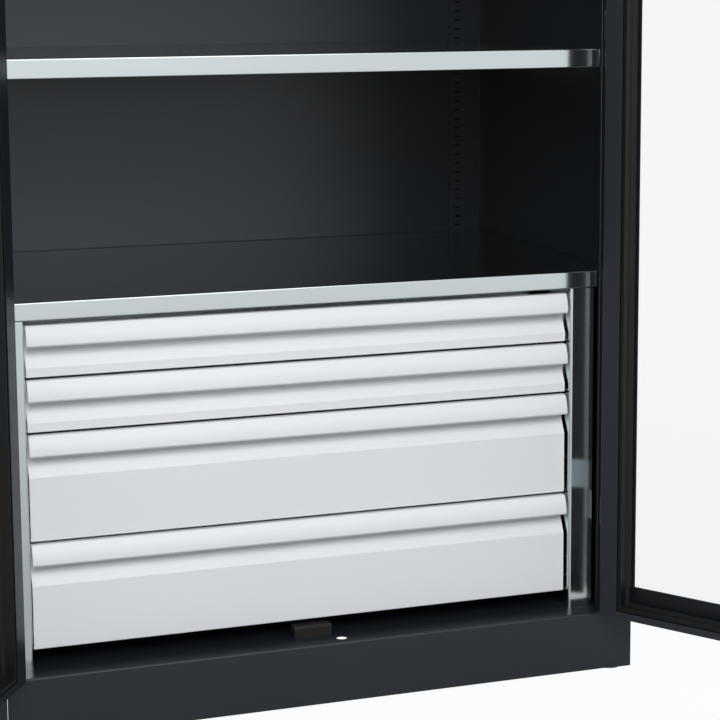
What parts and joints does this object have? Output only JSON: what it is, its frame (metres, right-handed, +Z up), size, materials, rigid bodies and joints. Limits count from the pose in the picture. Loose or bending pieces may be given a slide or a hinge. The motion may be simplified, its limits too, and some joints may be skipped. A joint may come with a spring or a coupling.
{
  "type": "steel storage cabinet",
  "caption": "Full-height steel cabinet with two hinged window doors standing open, height-adjustable shelves and full-width drawers with grip lips below.",
  "frame": {"origin": "on the floor, midway between the side walls and midway between the front plane and the back", "axes": "+X to the right seen from the front, +Y to the back, +Z up; the doors stand open and the drawers are shut at rest"},
  "size_m": [1.4102, 1.0133, 1.95],
  "materials": {
    "body_coat": "matte powder coat",
    "zinc": "bright zinc coating",
    "drawer_coat": "satin powder coat",
    "black_plastic": "satin",
    "clear_pane": "clear",
    "black_rubber": "matte",
    "plated_steel": "zinc plated",
    "key_metal": "polished"
  },
  "bodies": {
    "cabinet": {"side_panel_right": "body_coat", "side_panel_left": "body_coat", "back_panel": "body_coat", "base_pan": "body_coat", "roof_pan": "body_coat", "front_rail_right": "body_coat", "front_rail_left": "body_coat", "rear_rail_right": "body_coat", "rear_rail_left": "body_coat", "foot_brackets": "body_coat", "shelf_1": "zinc", "shelf_2": "zinc", "shelf_3": "zinc", "drawer_unit_top": "zinc", "shelf_clips": "zinc", "drawer_unit_side_right": "zinc", "drawer_unit_side_left": "zinc", "drawer_unit_tie": "zinc", "fixed_runner_rails": "plated_steel", "stop_block_screws": "plated_steel", "levelling_feet": "plated_steel", "hinge_post_knuckles": "plated_steel", "hinge_pins": "plated_steel", "stop_blocks": "black_rubber"},
    "right_door": {"right_door_leaf": "body_coat", "right_glazing_strip": "black_plastic", "right_window_pane": "clear_pane", "right_door_knuckles": "plated_steel", "closing_strip": "body_coat", "lever_plate": "black_plastic", "lock_case": "plated_steel", "rod_guides": "plated_steel"},
    "left_door": {"left_door_leaf": "body_coat", "left_glazing_strip": "black_plastic", "left_window_pane": "clear_pane", "left_door_knuckles": "plated_steel"},
    "handle": {"lever": "black_plastic", "lock_cam": "plated_steel"},
    "barrel": {"lock_barrel": "key_metal"},
    "lower_locking_rod": {"lower_rod": "plated_steel"},
    "upper_locking_rod": {"upper_rod": "plated_steel"},
    "drawer_1": {"drawer_1_front": "drawer_coat", "drawer_1_tray": "zinc", "drawer_1_inner_rails": "plated_steel"},
    "drawer_1_middle": {"drawer_1_middle_rails": "plated_steel"},
    "drawer_2": {"drawer_2_front": "drawer_coat", "drawer_2_tray": "zinc", "drawer_2_inner_rails": "plated_steel"},
    "drawer_2_middle": {"drawer_2_middle_rails": "plated_steel"},
    "drawer_3": {"drawer_3_front": "drawer_coat", "drawer_3_tray": "zinc", "drawer_3_inner_rails": "plated_steel"},
    "drawer_3_middle": {"drawer_3_middle_rails": "plated_steel"},
    "drawer_4": {"drawer_4_front": "drawer_coat", "drawer_4_tray": "zinc", "drawer_4_inner_rails": "plated_steel"},
    "drawer_4_middle": {"drawer_4_middle_rails": "plated_steel"}
  },
  "joints": [
    {"name": "right_door_hinge", "type": "hinge", "parent": "cabinet", "child": "right_door", "pos_m": [0.463, -0.3003, 1.0015], "axis": [0, 0, 1], "range_deg": [-121.3, 0]},
    {"name": "left_door_hinge", "type": "hinge", "parent": "cabinet", "child": "left_door", "pos_m": [-0.463, -0.3003, 1.0015], "axis": [0, 0, -1], "range_deg": [-121.3, 0]},
    {"name": "lever_turn", "type": "hinge", "parent": "right_door", "child": "handle", "pos_m": [0.68359, -0.6631, 1.0015], "axis": [-0.8545, -0.5195, 0], "range_deg": [0, 90]},
    {"name": "key_turn", "type": "hinge", "parent": "handle", "child": "barrel", "pos_m": [0.68359, -0.6631, 1.0015], "axis": [-0.8545, -0.5195, 0], "range_deg": [0, 90]},
    {"name": "lower_rod_slide", "type": "slide", "parent": "right_door", "child": "lower_locking_rod", "axis": [0, 0, -1], "range_m": [0, 0.018]},
    {"name": "upper_rod_slide", "type": "slide", "parent": "right_door", "child": "upper_locking_rod", "axis": [0, 0, 1], "range_m": [0, 0.018]},
    {"name": "drawer_1_slide", "type": "slide", "parent": "cabinet", "child": "drawer_1", "axis": [0, -1, 0], "range_m": [0, 0.48]},
    {"name": "drawer_1_middle_slide", "type": "slide", "parent": "cabinet", "child": "drawer_1_middle", "axis": [0, -1, 0], "range_m": [0, 0.24]},
    {"name": "drawer_2_slide", "type": "slide", "parent": "cabinet", "child": "drawer_2", "axis": [0, -1, 0], "range_m": [0, 0.48]},
    {"name": "drawer_2_middle_slide", "type": "slide", "parent": "cabinet", "child": "drawer_2_middle", "axis": [0, -1, 0], "range_m": [0, 0.24]},
    {"name": "drawer_3_slide", "type": "slide", "parent": "cabinet", "child": "drawer_3", "axis": [0, -1, 0], "range_m": [0, 0.48]},
    {"name": "drawer_3_middle_slide", "type": "slide", "parent": "cabinet", "child": "drawer_3_middle", "axis": [0, -1, 0], "range_m": [0, 0.24]},
    {"name": "drawer_4_slide", "type": "slide", "parent": "cabinet", "child": "drawer_4", "axis": [0, -1, 0], "range_m": [0, 0.48]},
    {"name": "drawer_4_middle_slide", "type": "slide", "parent": "cabinet", "child": "drawer_4_middle", "axis": [0, -1, 0], "range_m": [0, 0.24]}
  ],
  "couplings": [
    {"joint": "lower_rod_slide", "follows": "lever_turn", "m_per_rad": 0.011459},
    {"joint": "upper_rod_slide", "follows": "lever_turn", "m_per_rad": 0.011459},
    {"joint": "drawer_1_middle_slide", "follows": "drawer_1_slide", "ratio": 0.5},
    {"joint": "drawer_2_middle_slide", "follows": "drawer_2_slide", "ratio": 0.5},
    {"joint": "drawer_3_middle_slide", "follows": "drawer_3_slide", "ratio": 0.5},
    {"joint": "drawer_4_middle_slide", "follows": "drawer_4_slide", "ratio": 0.5}
  ]
}
